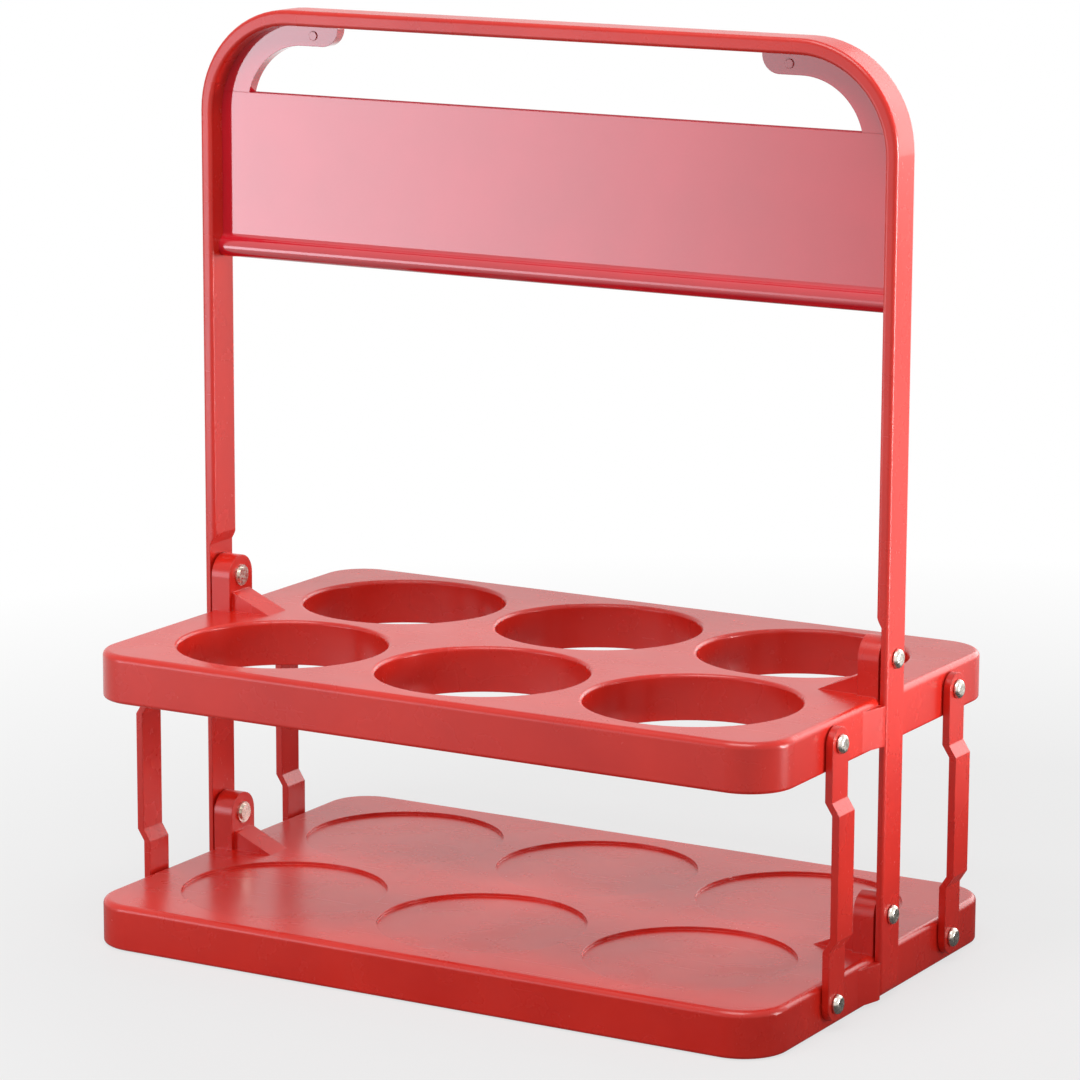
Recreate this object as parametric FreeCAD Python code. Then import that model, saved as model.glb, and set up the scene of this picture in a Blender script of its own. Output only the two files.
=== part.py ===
import FreeCAD, Part
import math
import os

# Folding six-hole carrier: two trays, four jogged legs and a strap handle on rivets.
# Origin at the middle of the underside, X along the trays, Y to the back, Z up, millimetres.

# Driving dimensions: layout of the holes
PITCH = 88.0
HOLE_WEB = 8.0
SEAT_STEP = 0.5
SEAT_DEPTH = 1.2

# Driving dimensions: trays
END_MARGIN = 13.0
SIDE_MARGIN = 7.5
UPPER_INSET = 2.0
BASE_COVER = 8.0
UPPER_COVER = 8.5
UPPER_HEIGHT = 18.5
CORNER_R = 18.0
WALL = 2.6
PLATE = 2.8
RIM_ROUND = 2.4
FOOT_ROUND = 1.2
HOLE_ROUND = 1.4
COLLAR = 2.2
COLLAR_LIFT = 1.0
RIB = 1.8
RIB_DROP = 7.0

# Driving dimensions: linkage
LEG_FRONT = 45.0
LEG_BACK = 53.0
LEG_PIVOT_Z = 9.5
LINK = 96.0
HANDLE_RISE = 22.0
PIN_R = 2.1
RUN_GAP = 0.05
SIDE_GAP = 0.3

# Driving dimensions: legs and the blocks behind their rivets
LEG_WIDTH = 12.5
LEG_THICK = 2.8
JOG_START = 20.5
JOG_END = 25.0
BLOCK_DEPTH = 4.0
BLOCK_HALF = 8.0

# Driving dimensions: lugs that carry the handle, and the ramps that stop it upright
LUG_INSET = 0.5
LUG_THICK = 8.3
LUG_HALF = 8.0
GUSSET_REACH = 17.0
GUSSET_HEIGHT = 7.5
GUSSET_HALF = 6.0
RAMP_RUN = 13.0
RAMP_LAND = 2.0
RAMP_SHY = 0.2

# Driving dimensions: handle
HANDLE_TOP = 350.0
TAIL_DROP = 29.0
TAIL_ROUND = 2.0
HANDLE_HALF_Y = 7.75
HANDLE_R = 40.0
TOP_THICK = 6.0
SIDE_THICK = 4.9
SLIM_THICK = 2.6
SLIM_PAST = 12.5
SLIM_RAMP = 4.0
STRAP_ROUND = 1.5

# Driving dimensions: panel and corner braces
PANEL_FRONT = 0.0
PANEL_THICK = 4.8
PANEL_DROP = 33.0
PANEL_HEIGHT = 64.0
LIP_R = 4.0
LIP_BLEND = 2.0
BRACE_SIDE = 12.0
BRACE_TOP = 8.0
BRACE_R = 25.0
BRACE_REACH = 53.0
BRACE_TIP_FLAT = 1.0
BRACE_PIN_R = 1.7
BRACE_PIN_REACH = 42.0
BRACE_PIN_PROUD = 0.5

# Driving dimensions: rivets and washers
HEAD_R = 3.6
HEAD_THICK = 1.8
HEAD_ROUND = 1.6
WASHER_R = 4.2
WASHER_THICK = 0.8
TAIL_R = 3.1
TAIL_THICK = 0.8

# How far a cutting shape runs past what it cuts, and how close counts as the same place
OVER = 1.0
SAME = 1e-4

# Worked-out places
HOLE_R = (PITCH - HOLE_WEB) / 2
SEAT_R = HOLE_R - SEAT_STEP
END_X = 1.5 * PITCH + END_MARGIN
BASE_HALF_Y = PITCH + SIDE_MARGIN
UPPER_HALF_Y = BASE_HALF_Y - UPPER_INSET
UPPER_PIVOT_Z = LEG_PIVOT_Z + LINK
HANDLE_LOW_Z = LEG_PIVOT_Z + HANDLE_RISE
HANDLE_HIGH_Z = UPPER_PIVOT_Z + HANDLE_RISE
BASE_TOP = LEG_PIVOT_Z + BASE_COVER
UPPER_TOP = UPPER_PIVOT_Z + UPPER_COVER
UPPER_BOTTOM = UPPER_TOP - UPPER_HEIGHT
LEG_HALF = LEG_WIDTH / 2
SLIM_X = END_X + SIDE_GAP
HANDLE_X = SLIM_X + SLIM_THICK
LEG_END_X = END_X + SIDE_GAP
LEG_MID_X = HANDLE_X + SIDE_GAP
BLOCK_INNER_X = END_X - WALL - BLOCK_DEPTH
LUG_OUTER_X = END_X - LUG_INSET
LUG_INNER_X = LUG_OUTER_X - LUG_THICK
HANDLE_IN_X = HANDLE_X - SIDE_THICK
HANDLE_TAIL = HANDLE_LOW_Z - TAIL_DROP
SLIM_TOP = HANDLE_HIGH_Z + SLIM_PAST
PANEL_TOP = HANDLE_TOP - PANEL_DROP
PANEL_BOTTOM = PANEL_TOP - PANEL_HEIGHT
PANEL_BACK = PANEL_FRONT + PANEL_THICK
SIDES = (-1, 1)
LEG_ROWS = (-LEG_FRONT, LEG_BACK)
HOLE_CENTRES = [(column * PITCH, row * PITCH / 2) for row in SIDES for column in (-1, 0, 1)]

V = FreeCAD.Vector


# Shared shapes
def box(x0, x1, y0, y1, z0, z1):
    """Box between two corners given in any order."""
    low = V(min(x0, x1), min(y0, y1), min(z0, z1))
    return Part.makeBox(abs(x1 - x0), abs(y1 - y0), abs(z1 - z0), low)


def rod(radius, x0, x1, y, z):
    """Cylinder along X between two planes."""
    return Part.makeCylinder(radius, abs(x1 - x0), V(min(x0, x1), y, z), V(1, 0, 0))


def upright(radius, x, y, z0, z1):
    """Cylinder along Z."""
    return Part.makeCylinder(radius, z1 - z0, V(x, y, z0))


def mirrored(shape, side):
    """The shape as drawn at the right end, or its mirror image at the left end."""
    return shape if side > 0 else shape.mirror(V(0, 0, 0), V(1, 0, 0))


def rounded_block(half_x, half_y, z0, z1, radius):
    """Box with its four upright corners rounded."""
    block = box(-half_x, half_x, -half_y, half_y, z0, z1)
    corners = [e for e in block.Edges if abs(e.tangentAt(e.FirstParameter).z) > 0.99]
    return block.makeFillet(radius, corners)


def level_edges(shape, z):
    """Edges that lie wholly at one height."""
    return [e for e in shape.Edges if abs(e.BoundBox.ZMin - z) < SAME and abs(e.BoundBox.ZMax - z) < SAME]


def fused(shapes):
    """One solid from touching shapes."""
    whole = shapes[0].multiFuse(shapes[1:]) if len(shapes) > 1 else shapes[0]
    return whole.removeSplitter()


# Trays
def tray_shell(half_y, z0, z1):
    """Outer skin of a tray with its rim rounded, and the space to clear out under its plate."""
    skin = rounded_block(END_X, half_y, z0, z1, CORNER_R)
    skin = skin.makeFillet(RIM_ROUND, level_edges(skin, z1))
    skin = skin.makeFillet(FOOT_ROUND, level_edges(skin, z0))
    inside = rounded_block(END_X - WALL, half_y - WALL, z0 - OVER, z1 - PLATE, CORNER_R - WALL)
    return skin, inside


def pivot_blocks(z0, z1):
    """Solid blocks behind the leg rivets, kept when the tray is hollowed."""
    outer_x = END_X - WALL / 2
    return [box(side * BLOCK_INNER_X, side * outer_x, y - BLOCK_HALF, y + BLOCK_HALF, z0 - OVER, z1)
            for side in SIDES for y in LEG_ROWS]


def lug(side, top, pivot_z):
    """Round-topped lug with a sloped gusset, standing on a tray's plate at one end."""
    wall = box(LUG_INNER_X, LUG_OUTER_X, -LUG_HALF, LUG_HALF, top - PLATE, pivot_z)
    cap = rod(LUG_HALF, LUG_INNER_X, LUG_OUTER_X, 0, pivot_z)
    foot = top - PLATE / 2
    near, far, peak = LUG_INNER_X + OVER, LUG_INNER_X - GUSSET_REACH, top + GUSSET_HEIGHT
    outline = [(near, foot), (far, foot), (far, top), (LUG_INNER_X, peak), (near, peak)]
    slope = [V(x, -GUSSET_HALF, z) for x, z in outline]
    gusset = Part.Face(Part.makePolygon(slope + slope[:1])).extrude(V(0, 2 * GUSSET_HALF, 0))
    return mirrored(fused([wall, cap, gusset]), side)


def stop_ramp(side, z0, z1):
    """Ramp on a tray's end face: the strap's front edge rests against its high end when upright."""
    high_y = -HANDLE_HALF_Y - SIDE_GAP
    low_y = high_y - RAMP_RUN
    root_x, peak_x = END_X - WALL / 2, HANDLE_X - RAMP_SHY
    outline = [(root_x, high_y), (peak_x, high_y), (peak_x, high_y - RAMP_LAND),
               (END_X, low_y), (root_x, low_y)]
    points = [V(x, y, z0 + FOOT_ROUND) for x, y in outline]
    height = z1 - RIM_ROUND - z0 - FOOT_ROUND
    return mirrored(Part.Face(Part.makePolygon(points + points[:1])).extrude(V(0, 0, height)), side)


def pin_holes(pivot_z, handle_z):
    """Holes for the leg rivets and the handle rivets of one tray."""
    holes = []
    for side in SIDES:
        for y in LEG_ROWS:
            holes.append(rod(PIN_R, side * (BLOCK_INNER_X - OVER), side * (END_X + OVER), y, pivot_z))
        holes.append(rod(PIN_R, side * (LUG_INNER_X - OVER), side * (END_X + OVER), 0, handle_z))
    return holes


def cross_ribs(half_y, z0, z1):
    """Ribs under a plate, between the rows and columns of holes."""
    ribs = [box(-END_X + WALL, END_X - WALL, -RIB / 2, RIB / 2, z0, z1)]
    for side in SIDES:
        x = side * PITCH / 2
        ribs.append(box(x - RIB / 2, x + RIB / 2, -half_y + WALL, half_y - WALL, z0, z1))
    return ribs


def end_fittings(z0, z1, handle_z):
    """Lugs and stop ramps at both ends of a tray."""
    fittings = []
    for side in SIDES:
        fittings.append(lug(side, z1, handle_z))
        fittings.append(stop_ramp(side, z0, z1))
    return fittings


def make_base_tray():
    """Lower tray: shallow round seats on top, ribs below."""
    skin, inside = tray_shell(BASE_HALF_Y, 0, BASE_TOP)
    under = BASE_TOP - PLATE
    kept = pivot_blocks(0, under) + cross_ribs(BASE_HALF_Y, under - RIB_DROP, under)
    tray = skin.cut(inside.cut(kept))
    for x, y in HOLE_CENTRES:
        tray = tray.cut(upright(SEAT_R, x, y, BASE_TOP - SEAT_DEPTH, BASE_TOP + OVER))
    tray = fused([tray] + end_fittings(0, BASE_TOP, HANDLE_LOW_Z))
    return tray.cut(pin_holes(LEG_PIVOT_Z, HANDLE_LOW_Z))


def make_upper_tray():
    """Upper tray: six collared holes with rounded brims."""
    skin, inside = tray_shell(UPPER_HALF_Y, UPPER_BOTTOM, UPPER_TOP)
    under = UPPER_TOP - PLATE
    collars = [upright(HOLE_R + COLLAR, x, y, UPPER_BOTTOM + COLLAR_LIFT, under) for x, y in HOLE_CENTRES]
    ribs = cross_ribs(UPPER_HALF_Y, under - RIB_DROP, under)
    tray = skin.cut(inside.cut(pivot_blocks(UPPER_BOTTOM, under) + collars + ribs))
    tray = tray.cut([upright(HOLE_R, x, y, UPPER_BOTTOM - OVER, UPPER_TOP + OVER) for x, y in HOLE_CENTRES])
    brims = [e for e in level_edges(tray, UPPER_TOP) if isinstance(e.Curve, Part.Circle)
             and abs(e.Curve.Radius - HOLE_R) < SAME]
    tray = tray.makeFillet(HOLE_ROUND, brims)
    tray = fused([tray] + end_fittings(UPPER_BOTTOM, UPPER_TOP, HANDLE_HIGH_Z))
    return tray.cut(pin_holes(UPPER_PIVOT_Z, HANDLE_HIGH_Z))


# Legs
def make_leg(side, y):
    """Flat bar whose ends lie on the trays and whose middle is jogged out to pass the strap."""
    z0, z1 = LEG_PIVOT_Z, UPPER_PIVOT_Z
    inner = [(LEG_END_X, z0 - LEG_HALF), (LEG_END_X, z0 + JOG_START), (LEG_MID_X, z0 + JOG_END),
             (LEG_MID_X, z1 - JOG_END), (LEG_END_X, z1 - JOG_START), (LEG_END_X, z1 + LEG_HALF)]
    outer = [(x + LEG_THICK, z) for x, z in reversed(inner)]
    points = [V(x, y - LEG_HALF, z) for x, z in inner + outer]
    bar = Part.Face(Part.makePolygon(points + points[:1])).extrude(V(0, LEG_WIDTH, 0))
    x0, x1 = LEG_END_X - OVER, LEG_MID_X + LEG_THICK + OVER
    outline = fused([box(x0, x1, y - LEG_HALF, y + LEG_HALF, z0, z1),
                     rod(LEG_HALF, x0, x1, y, z0), rod(LEG_HALF, x0, x1, y, z1)])
    holes = [rod(PIN_R + RUN_GAP, x0, x1, y, z) for z in (z0, z1)]
    return mirrored(bar.common(outline).cut(holes), side)


# Handle
def arch(half_x, top, radius, bottom):
    """Upside-down U outline filled in, at the back face of the strap, as a face in the XZ plane."""
    y = HANDLE_HALF_Y
    bend = radius * (1 - math.sqrt(0.5))
    a, b = V(-half_x, y, bottom), V(-half_x, y, top - radius)
    c, d = V(-half_x + radius, y, top), V(half_x - radius, y, top)
    e, f = V(half_x, y, top - radius), V(half_x, y, bottom)
    left = Part.Arc(b, V(-half_x + bend, y, top - bend), c).toShape()
    right = Part.Arc(d, V(half_x - bend, y, top - bend), e).toShape()
    wire = Part.Wire([Part.makeLine(a, b), left, Part.makeLine(c, d), right, Part.makeLine(e, f),
                      Part.makeLine(f, a)])
    return Part.Face(wire)


def strap_inside(bottom):
    """Space inside the bent strap down to a given height."""
    face = arch(HANDLE_IN_X, HANDLE_TOP - TOP_THICK, HANDLE_R - SIDE_THICK, bottom)
    return face.extrude(V(0, -2 * HANDLE_HALF_Y, 0))


def make_handle_strap():
    """Flat strap bent to a U, thinner where it passes the trays."""
    y = HANDLE_HALF_Y
    across = V(0, -2 * y, 0)
    whole = arch(HANDLE_X, HANDLE_TOP, HANDLE_R, HANDLE_TAIL).extrude(across)
    low = HANDLE_TAIL - OVER
    ramp_top = SLIM_TOP + SLIM_RAMP
    slim = [V(-SLIM_X, y, low), V(-SLIM_X, y, SLIM_TOP), V(-HANDLE_IN_X, y, ramp_top),
            V(HANDLE_IN_X, y, ramp_top), V(SLIM_X, y, SLIM_TOP), V(SLIM_X, y, low)]
    space = fused([strap_inside(low), Part.Face(Part.makePolygon(slim + slim[:1])).extrude(across)])
    side_view = box(-HANDLE_X, HANDLE_X, -y, y, HANDLE_TAIL, HANDLE_TOP)
    ends = [e for e in level_edges(side_view, HANDLE_TAIL) if e.BoundBox.XLength > SAME]
    strap = whole.cut(space).common(side_view.makeFillet(TAIL_ROUND, ends))
    rims = [e for e in strap.Edges if abs(abs(e.CenterOfMass.y) - y) < SAME
            and e.BoundBox.YLength < SAME and e.CenterOfMass.z > ramp_top]
    strap = strap.makeFillet(STRAP_ROUND, rims)
    holes = [rod(PIN_R + RUN_GAP, side * (SLIM_X - OVER), side * (HANDLE_X + OVER), 0, z)
             for side in SIDES for z in (HANDLE_LOW_Z, HANDLE_HIGH_Z)]
    return strap.cut(holes)


def make_sign_panel():
    """Plain panel across the handle with a rolled lower edge that swells to the front."""
    lip_z = PANEL_BOTTOM + LIP_R
    plate = box(-HANDLE_IN_X, HANDLE_IN_X, PANEL_FRONT, PANEL_BACK, lip_z, PANEL_TOP)
    lip = rod(LIP_R, -HANDLE_IN_X, HANDLE_IN_X, PANEL_BACK - LIP_R, lip_z)
    panel = fused([plate, lip])
    seam = [e for e in panel.Edges if abs(e.CenterOfMass.y - PANEL_FRONT) < SAME
            and e.BoundBox.XLength > HANDLE_IN_X and e.CenterOfMass.z < PANEL_TOP - SAME]
    panel = panel.makeFillet(LIP_BLEND, seam)
    return panel.common(strap_inside(PANEL_BOTTOM - OVER)).Solids[0]


def make_corner_brace(side):
    """Curved brace lying in the strap's upper corner, with a rounded end along the top bar."""
    top = HANDLE_TOP - TOP_THICK
    across = V(0, -2 * HANDLE_HALF_Y, 0)
    inside = arch(HANDLE_IN_X - BRACE_SIDE, top - BRACE_TOP, BRACE_R, PANEL_BOTTOM - OVER)
    reach_x = HANDLE_IN_X - BRACE_REACH
    keep = box(reach_x, HANDLE_IN_X, PANEL_FRONT, PANEL_BACK, PANEL_TOP, top)
    brace = strap_inside(PANEL_BOTTOM).cut(inside.extrude(across)).common(keep).Solids[0]
    tip_z = top - BRACE_TOP
    tip = [e for e in brace.Edges if abs(e.CenterOfMass.x - reach_x) < SAME
           and abs(e.BoundBox.ZMin - tip_z) < SAME and abs(e.BoundBox.ZMax - tip_z) < SAME]
    brace = brace.makeFillet(BRACE_TOP - BRACE_TIP_FLAT, tip)
    return mirrored(brace.cut(brace_pin(1)), side)


def brace_pin(side):
    """Small pin through a brace near its rounded end."""
    x = side * (HANDLE_IN_X - BRACE_PIN_REACH)
    z = HANDLE_TOP - TOP_THICK - BRACE_TOP / 2
    length = PANEL_THICK + 2 * BRACE_PIN_PROUD
    return Part.makeCylinder(BRACE_PIN_R, length, V(x, PANEL_FRONT - BRACE_PIN_PROUD, z), V(0, 1, 0))


# Rivets and washers
def rivet(side, y, z, tail_face, head_face):
    """Rivet lying along X: rounded head outside, plain shank, flattened tail behind its washer."""
    head = rod(HEAD_R, head_face, head_face + HEAD_THICK, y, z)
    crown = [e for e in head.Edges if abs(e.CenterOfMass.x - head_face - HEAD_THICK) < SAME]
    head = head.makeFillet(HEAD_ROUND, crown)
    washer_face = tail_face - WASHER_THICK
    shank = rod(PIN_R, washer_face - TAIL_THICK, head_face + HEAD_THICK / 2, y, z)
    tail = rod(TAIL_R, washer_face - TAIL_THICK, washer_face, y, z)
    return mirrored(fused([shank, tail, head]), side)


def washer(side, y, z, face):
    """Flat washer under a rivet's tail."""
    back = face - WASHER_THICK
    ring = rod(WASHER_R, back, face, y, z).cut(rod(PIN_R, back - OVER, face + OVER, y, z))
    return mirrored(ring, side)


def leg_rivets(z):
    """Four rivets that carry the legs on one tray."""
    head_face = LEG_END_X + LEG_THICK + SIDE_GAP
    return [rivet(side, y, z, BLOCK_INNER_X, head_face) for side in SIDES for y in LEG_ROWS]


def handle_rivets(z):
    """Two rivets that carry the strap on one tray."""
    return [rivet(side, 0, z, LUG_INNER_X, HANDLE_X + SIDE_GAP) for side in SIDES]


def export(name, shapes):
    """Write one node; a group of like pieces stays separate solids."""
    node = shapes[0] if len(shapes) == 1 else Part.makeCompound(shapes)
    node.exportStep("parts/" + name + ".step")


os.makedirs("parts", exist_ok=True)
export("base_tray", [make_base_tray()])
export("upper_tray", [make_upper_tray()])
for y, depth_name in zip(LEG_ROWS, ("front", "back")):
    for side, end_name in zip(SIDES, ("left", "right")):
        export(depth_name + "_" + end_name + "_leg", [make_leg(side, y)])
export("handle_strap", [make_handle_strap()])
export("sign_panel", [make_sign_panel()])
for side, end_name in zip(SIDES, ("left", "right")):
    export("corner_brace_" + end_name, [make_corner_brace(side)])
export("brace_pins", [brace_pin(side) for side in SIDES])
for level, leg_z, handle_z in (("base", LEG_PIVOT_Z, HANDLE_LOW_Z), ("upper", UPPER_PIVOT_Z, HANDLE_HIGH_Z)):
    export(level + "_leg_rivets", leg_rivets(leg_z))
    export(level + "_handle_rivets", handle_rivets(handle_z))
    export(level + "_leg_washers",
           [washer(side, y, leg_z, BLOCK_INNER_X) for side in SIDES for y in LEG_ROWS])
    export(level + "_handle_washers", [washer(side, 0, handle_z, LUG_INNER_X) for side in SIDES])
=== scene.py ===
import math

import bpy
from mathutils import Matrix, Vector

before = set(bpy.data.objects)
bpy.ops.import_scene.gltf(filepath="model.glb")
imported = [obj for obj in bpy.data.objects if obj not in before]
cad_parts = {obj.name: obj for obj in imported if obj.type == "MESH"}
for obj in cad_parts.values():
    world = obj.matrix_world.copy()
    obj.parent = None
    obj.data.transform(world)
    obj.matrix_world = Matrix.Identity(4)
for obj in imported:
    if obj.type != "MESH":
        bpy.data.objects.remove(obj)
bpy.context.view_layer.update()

# Camera, fitted to the photograph's edges (metres, degrees, pixels)
FRAME_PX = 1080
FOCAL_PX = 4531
SENSOR_MM = 36
CAMERA_AT = Vector((0.8313, -1.4485, 0.4961))
YAW = math.radians(29.88)
PITCH = math.radians(11.52)
ROLL = math.radians(0.24)

# Colours, linear
RED = (0.67, 0.021, 0.010)
RED_DEEP = (0.58, 0.014, 0.007)
# Paler coral along edges: partly wear, partly a painted highlight
RED_WEAR_AND_HIGHLIGHT = (0.78, 0.075, 0.055)
PANEL_RED = (0.60, 0.008, 0.022)
PANEL_RED_DEEP = (0.55, 0.007, 0.018)
# Painted shade on the panel's upward faces, standing for a dark reflection there
PANEL_TOP_SHADE = (0.45, 0.030, 0.045)
STEEL = (0.86, 0.80, 0.72)
STEEL_DARK = (0.60, 0.53, 0.46)
FLOOR_PALE = (0.45, 0.45, 0.45)
COOL_LIGHT = (0.94, 0.94, 1.06)
PLAIN_LIGHT = (1.0, 1.0, 1.0)

# How strongly the surround lights matt surfaces; to the camera and in gloss it is plain white
WORLD_FILL = 0.30

# Which finish each node takes
GLOSS_NODES = ("sign_panel", "corner_brace_left", "corner_brace_right", "brace_pins")
STEEL_ENDINGS = ("rivets", "washers")

# Surface patterns: noise cycles per metre, detail, roughness of the noise, and the band of it that counts
FLOW_MARKS = (22, 4, 0.5, 0.35, 0.70)
# Patches along edges that are paled partly by wear, partly by a painted highlight
WEAR_AND_HIGHLIGHT_PATCHES = (160, 3, 0.5, 0.40, 0.62)
SMUDGES = (55, 5, 0.5, 0.30, 0.70)
PANEL_CLOUD = (30, 3, 0.5, 0.35, 0.68)
PANEL_HAZE = (90, 5, 0.6, 0.35, 0.75)
STEEL_STAIN = (420, 4, 0.5, 0.35, 0.70)
STEEL_HAZE = (900, 4, 0.5, 0.30, 0.70)

# Scratches: the same, but their noise is stretched first, to these cycles per metre each way and this slant
SCRATCHES = (1, 2, 0.5, 0.68, 0.78)
SCRATCH_SCALE = (14, 1500, 420)
SCRATCH_TURN = (0.3, 0.2, 0.6)

# Relief: noise cycles per metre, detail, strength and depth (metres)
MOULD_GRAIN = (1800, 2, 0.05, 0.0001)
SINK_MARKS = (38, 1, 0.02, 0.001)
PANEL_WAVE = (28, 1, 0.03, 0.001)
TURNING_MARKS = (3200, 3, 0.15, 0.0001)

# Gloss: roughness from clean to smudged, what a scratch adds, and refraction
PLASTIC_ROUGH = (0.24, 0.29)
SCRATCH_ROUGH = 0.03
PLASTIC_IOR = 1.50
PANEL_ROUGH = (0.07, 0.09)
PANEL_COAT_ROUGH = 0.03
PANEL_IOR = 1.58
# The panel's gloss, and the lower gloss of its upward faces under the painted shade
PANEL_SPECULAR, TOP_SHADE_SPECULAR = 0.5, 0.2
STEEL_ROUGH = (0.16, 0.36)

# Edges: how far their shading is softened (metres), what counts as one, and the most that wear and a painted
# highlight pale them
EDGE_SOFT = 0.0005
EDGE_SAMPLES = 4
EDGE_NONE, EDGE_FULL = 0.995, 0.90
WEAR_AND_HIGHLIGHT_MOST = 0.30

# How nearly a face of the panel looks up before it takes the painted shade: a darker, duller top face
# standing for a dark reflection there
TOP_SHADE_NONE, TOP_SHADE_FULL = 0.95, 0.99

# Floor: its middle, the share of plain white near that and far from it, and where it changes (metres)
FLOOR_MIDDLE = (0.12, 0.05, -0.0004)
FLOOR_SIZE = 12
FLOOR_ROUGH = 0.6
FLOOR_SPECULAR = 0.2
WHITE_NEAR, WHITE_FAR = 0.70, 1.0
FADE_START, FADE_END = 0.30, 0.75

# The same floor in reflections: dim near the object, white further out
SHEEN_NEAR, SHEEN_FAR = 0.10, 1.0
SHEEN_START, SHEEN_END = 0.22, 0.62

# Lamps: name, place, target, width and height (metres), watts, colour, and the angle of its fan (degrees)
LAMPS = (
    ("front_softbox", (-0.481, -0.785, 0.17), (0.049, -0.035, 0.28), (0.62, 0.34), 2.9, COOL_LIGHT, 180),
    ("right_softbox", (0.567, 0.169, 0.21), (0.15, 0.0, 0.21), (0.16, 0.34), 0.23, PLAIN_LIGHT, 24),
    ("top_softbox", (0.1, -0.6, 1.4), (0.0, 0.0, 0.1), (1.0, 0.8), 15, PLAIN_LIGHT, 180),
    ("back_softbox", (0.35, 1.25, 0.55), (0.0, 0.0, 0.20), (1.0, 0.8), 7, PLAIN_LIGHT, 180),
)

# Lamps that fade from one side to the other: their strength at the two sides
GRADED = {"front_softbox": (1.22, 0.0)}


# Shader helpers
def new_material(name):
    """Empty node material with a principled shader wired to its output."""
    material = bpy.data.materials.new(name)
    material.use_nodes = True
    tree = material.node_tree
    return material, tree, tree.nodes["Principled BSDF"]


def noise(tree, place, scale, detail, roughness=0.5):
    """Noise texture in the object's own metres."""
    node = tree.nodes.new("ShaderNodeTexNoise")
    node.inputs["Scale"].default_value = scale
    node.inputs["Detail"].default_value = detail
    node.inputs["Roughness"].default_value = roughness
    tree.links.new(place, node.inputs["Vector"])
    return node.outputs["Fac"]


def spread(tree, value, low, high, to_low, to_high):
    """Map one range of values to another."""
    node = tree.nodes.new("ShaderNodeMapRange")
    for name, number in (("From Min", low), ("From Max", high), ("To Min", to_low), ("To Max", to_high)):
        node.inputs[name].default_value = number
    tree.links.new(value, node.inputs["Value"])
    return node.outputs["Result"]


def pattern(tree, place, shape, to_low=0.0, to_high=1.0):
    """Noise whose band is mapped to a range."""
    scale, detail, roughness, low, high = shape
    return spread(tree, noise(tree, place, scale, detail, roughness), low, high, to_low, to_high)


def mixed(tree, fac, first, second):
    """Mix of two colours; each is a socket or a plain colour."""
    node = tree.nodes.new("ShaderNodeMix")
    node.data_type = "RGBA"
    tree.links.new(fac, node.inputs["Factor"])
    for name, colour in (("A", first), ("B", second)):
        socket = [s for s in node.inputs if s.name == name and s.type == "RGBA"][0]
        if isinstance(colour, tuple):
            socket.default_value = (*colour, 1)
        else:
            tree.links.new(colour, socket)
    return [s for s in node.outputs if s.type == "RGBA"][0]


def stretched(tree, place, scale, turn):
    """Coordinates pulled long one way, for fine scratches."""
    node = tree.nodes.new("ShaderNodeMapping")
    node.inputs["Scale"].default_value = scale
    node.inputs["Rotation"].default_value = turn
    tree.links.new(place, node.inputs["Vector"])
    return node.outputs["Vector"]


def combined(tree, operation, first, second):
    """Two values joined by a maths step."""
    node = tree.nodes.new("ShaderNodeMath")
    node.operation = operation
    tree.links.new(first, node.inputs[0])
    tree.links.new(second, node.inputs[1])
    return node.outputs["Value"]


def relief(tree, place, shape, normal=None):
    """Bumps from noise, over another normal if one is given."""
    scale, detail, strength, depth = shape
    node = tree.nodes.new("ShaderNodeBump")
    node.inputs["Strength"].default_value = strength
    node.inputs["Distance"].default_value = depth
    tree.links.new(noise(tree, place, scale, detail), node.inputs["Height"])
    if normal is not None:
        tree.links.new(normal, node.inputs["Normal"])
    return node.outputs["Normal"]


def object_place(tree):
    """Coordinates in the object's own frame."""
    return tree.nodes.new("ShaderNodeTexCoord").outputs["Object"]


def soft_edges(tree):
    """Surface normal that turns smoothly across sharp edges."""
    node = tree.nodes.new("ShaderNodeBevel")
    node.samples = EDGE_SAMPLES
    node.inputs["Radius"].default_value = EDGE_SOFT
    return node.outputs["Normal"]


def edge_mask(tree, softened):
    """High along edges, where handling rubs the gloss and a highlight is painted: there the softened normal
    leaves the true one.
    """
    geometry = tree.nodes.new("ShaderNodeNewGeometry")
    dot = tree.nodes.new("ShaderNodeVectorMath")
    dot.operation = "DOT_PRODUCT"
    tree.links.new(geometry.outputs["Normal"], dot.inputs[0])
    tree.links.new(softened, dot.inputs[1])
    return spread(tree, dot.outputs["Value"], EDGE_NONE, EDGE_FULL, 0.0, 1.0)


def top_shade_mask(tree):
    """High on faces that look straight up, where the panel gets painted shade standing for a dark
    reflection.
    """
    split = tree.nodes.new("ShaderNodeSeparateXYZ")
    tree.links.new(tree.nodes.new("ShaderNodeTexCoord").outputs["Normal"], split.inputs["Vector"])
    return spread(tree, split.outputs["Z"], TOP_SHADE_NONE, TOP_SHADE_FULL, 0.0, 1.0)


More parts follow.
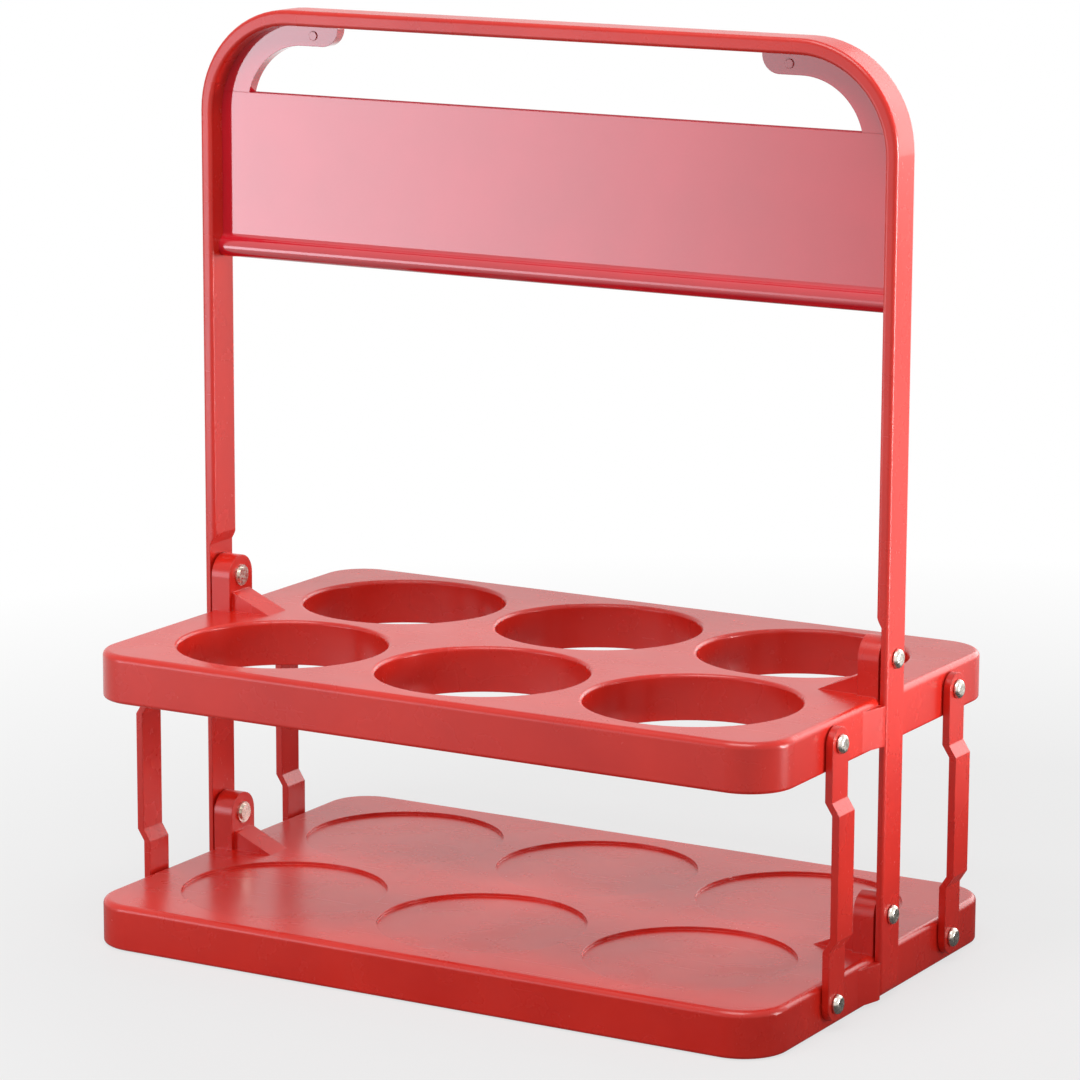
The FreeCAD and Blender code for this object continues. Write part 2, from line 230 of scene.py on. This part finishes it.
# Finishes
def make_red_plastic():
    """Moulded red plastic: flow marks in the colour, fine moulded grain, edges paled by wear and a painted
    highlight.
    """
    material, tree, shader = new_material("red_plastic_moulded")
    place = object_place(tree)
    colour = mixed(tree, pattern(tree, place, FLOW_MARKS), RED, RED_DEEP)
    softened = soft_edges(tree)
    # Edges paled in patches: partly wear, partly a painted highlight
    patches = pattern(tree, place, WEAR_AND_HIGHLIGHT_PATCHES, 0.0, WEAR_AND_HIGHLIGHT_MOST)
    worn_and_lit = combined(tree, "MULTIPLY", edge_mask(tree, softened), patches)
    tree.links.new(mixed(tree, worn_and_lit, colour, RED_WEAR_AND_HIGHLIGHT), shader.inputs["Base Color"])
    smudge = pattern(tree, place, SMUDGES, *PLASTIC_ROUGH)
    lines = stretched(tree, place, SCRATCH_SCALE, SCRATCH_TURN)
    scratch = pattern(tree, lines, SCRATCHES, 0.0, SCRATCH_ROUGH)
    tree.links.new(combined(tree, "ADD", smudge, scratch), shader.inputs["Roughness"])
    grain = relief(tree, place, MOULD_GRAIN, softened)
    tree.links.new(relief(tree, place, SINK_MARKS, grain), shader.inputs["Normal"])
    shader.inputs["IOR"].default_value = PLASTIC_IOR
    return material


def make_panel_gloss():
    """Mirror-smooth lacquered red of the panel and its braces, with painted shade on its upward faces."""
    material, tree, shader = new_material("panel_gloss_red")
    place = object_place(tree)
    # Upward faces take painted shade: darker colour, no coat and duller gloss, standing for a dark
    # reflection
    top_shade = top_shade_mask(tree)
    face = mixed(tree, pattern(tree, place, PANEL_CLOUD), PANEL_RED, PANEL_RED_DEEP)
    tree.links.new(mixed(tree, top_shade, face, PANEL_TOP_SHADE), shader.inputs["Base Color"])
    haze = pattern(tree, place, PANEL_HAZE, *PANEL_ROUGH)
    tree.links.new(combined(tree, "MAXIMUM", haze, top_shade), shader.inputs["Roughness"])
    tree.links.new(spread(tree, top_shade, 0, 1, 1, 0), shader.inputs["Coat Weight"])
    gloss = spread(tree, top_shade, 0, 1, PANEL_SPECULAR, TOP_SHADE_SPECULAR)
    tree.links.new(gloss, shader.inputs["Specular IOR Level"])
    tree.links.new(relief(tree, place, PANEL_WAVE, soft_edges(tree)), shader.inputs["Normal"])
    shader.inputs["Coat Roughness"].default_value = PANEL_COAT_ROUGH
    shader.inputs["IOR"].default_value = PANEL_IOR
    return material


def make_rivet_steel():
    """Plated steel of the rivets and washers with fine turning marks and handling haze."""
    material, tree, shader = new_material("rivet_plated_steel")
    place = object_place(tree)
    stain = pattern(tree, place, STEEL_STAIN)
    tree.links.new(mixed(tree, stain, STEEL, STEEL_DARK), shader.inputs["Base Color"])
    tree.links.new(pattern(tree, place, STEEL_HAZE, *STEEL_ROUGH), shader.inputs["Roughness"])
    tree.links.new(relief(tree, place, TURNING_MARKS), shader.inputs["Normal"])
    shader.inputs["Metallic"].default_value = 1.0
    return material


def finish_nodes():
    """Give every CAD node its finish."""
    red, gloss, steel = make_red_plastic(), make_panel_gloss(), make_rivet_steel()
    for name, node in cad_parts.items():
        material = red
        if name in GLOSS_NODES:
            material = gloss
        elif name.endswith(STEEL_ENDINGS):
            material = steel
        node.data.materials.clear()
        node.data.materials.append(material)


# Stage
def mirror_ray(tree, path):
    """High for rays that come off gloss or through glass."""
    return combined(tree, "MAXIMUM", path.outputs["Is Glossy Ray"], path.outputs["Is Transmission Ray"])


def make_floor():
    """Pale floor with the object's shadow, near white to the camera and clear when seen from below."""
    bpy.ops.mesh.primitive_plane_add(size=FLOOR_SIZE, location=FLOOR_MIDDLE)
    floor = bpy.context.object
    floor.name = "floor"
    material, tree, shader = new_material("pale_floor")
    shader.inputs["Base Color"].default_value = (*FLOOR_PALE, 1)
    shader.inputs["Roughness"].default_value = FLOOR_ROUGH
    shader.inputs["Specular IOR Level"].default_value = FLOOR_SPECULAR
    glow = tree.nodes.new("ShaderNodeEmission")
    path = tree.nodes.new("ShaderNodeLightPath")
    length = tree.nodes.new("ShaderNodeVectorMath")
    length.operation = "LENGTH"
    tree.links.new(object_place(tree), length.inputs[0])
    fade = spread(tree, length.outputs["Value"], FADE_START, FADE_END, WHITE_NEAR, WHITE_FAR)
    sheen = spread(tree, length.outputs["Value"], SHEEN_START, SHEEN_END, SHEEN_NEAR, SHEEN_FAR)
    tree.links.new(combined(tree, "MAXIMUM", sheen, path.outputs["Is Camera Ray"]), glow.inputs["Strength"])
    seen = combined(tree, "MULTIPLY", fade, path.outputs["Is Camera Ray"])
    blend = tree.nodes.new("ShaderNodeMixShader")
    tree.links.new(combined(tree, "MAXIMUM", seen, mirror_ray(tree, path)), blend.inputs["Fac"])
    tree.links.new(shader.outputs["BSDF"], blend.inputs[1])
    tree.links.new(glow.outputs["Emission"], blend.inputs[2])
    from_below = tree.nodes.new("ShaderNodeMixShader")
    tree.links.new(tree.nodes.new("ShaderNodeNewGeometry").outputs["Backfacing"], from_below.inputs["Fac"])
    tree.links.new(blend.outputs["Shader"], from_below.inputs[1])
    tree.links.new(tree.nodes.new("ShaderNodeBsdfTransparent").outputs["BSDF"], from_below.inputs[2])
    tree.links.new(from_below.outputs["Shader"], tree.nodes["Material Output"].inputs["Surface"])
    floor.data.materials.append(material)


def make_world():
    """White surround for the camera and reflections, softer light elsewhere."""
    world = bpy.data.worlds.new("studio")
    bpy.context.scene.world = world
    world.use_nodes = True
    tree = world.node_tree
    path = tree.nodes.new("ShaderNodeLightPath")
    white = combined(tree, "MAXIMUM", path.outputs["Is Camera Ray"], mirror_ray(tree, path))
    back = tree.nodes["Background"]
    back.inputs["Color"].default_value = (1, 1, 1, 1)
    tree.links.new(spread(tree, white, 0, 1, WORLD_FILL, 1), back.inputs["Strength"])


def grade_light(lamp, sides):
    """Let a lamp's strength run from one side to the other."""
    lamp.use_nodes = True
    tree = lamp.node_tree
    split = tree.nodes.new("ShaderNodeSeparateXYZ")
    tree.links.new(tree.nodes.new("ShaderNodeNewGeometry").outputs["Parametric"], split.inputs["Vector"])
    tree.links.new(spread(tree, split.outputs["X"], 0, 1, *sides), tree.nodes["Emission"].inputs["Strength"])


def make_light(name, place, target, size, watts, colour, fan):
    """Soft rectangular lamp aimed at a point and hidden from the camera."""
    lamp = bpy.data.lights.new(name, "AREA")
    lamp.shape = "RECTANGLE"
    lamp.size, lamp.size_y = size
    lamp.spread = math.radians(fan)
    lamp.energy = watts
    lamp.color = colour
    if name in GRADED:
        grade_light(lamp, GRADED[name])
    light = bpy.data.objects.new(name, lamp)
    bpy.context.scene.collection.objects.link(light)
    light.visible_camera = False
    light.location = place
    light.rotation_euler = (Vector(target) - Vector(place)).to_track_quat("-Z", "Y").to_euler()


def make_camera():
    """Camera where the photograph was taken from."""
    forward = Vector((-math.sin(YAW) * math.cos(PITCH), math.cos(YAW) * math.cos(PITCH), -math.sin(PITCH)))
    right = Vector((math.cos(YAW), math.sin(YAW), 0))
    up = right.cross(forward)
    turn = Matrix((right, up, -forward)).transposed() @ Matrix.Rotation(ROLL, 3, "Z")
    lens = bpy.data.cameras.new("camera")
    lens.sensor_width = SENSOR_MM
    lens.lens = FOCAL_PX / FRAME_PX * SENSOR_MM
    camera = bpy.data.objects.new("camera", lens)
    bpy.context.scene.collection.objects.link(camera)
    camera.matrix_world = Matrix.Translation(CAMERA_AT) @ turn.to_4x4()
    bpy.context.scene.camera = camera


finish_nodes()
make_floor()
make_world()
for lamp_values in LAMPS:
    make_light(*lamp_values)
make_camera()
bpy.context.scene.view_settings.view_transform = "Standard"
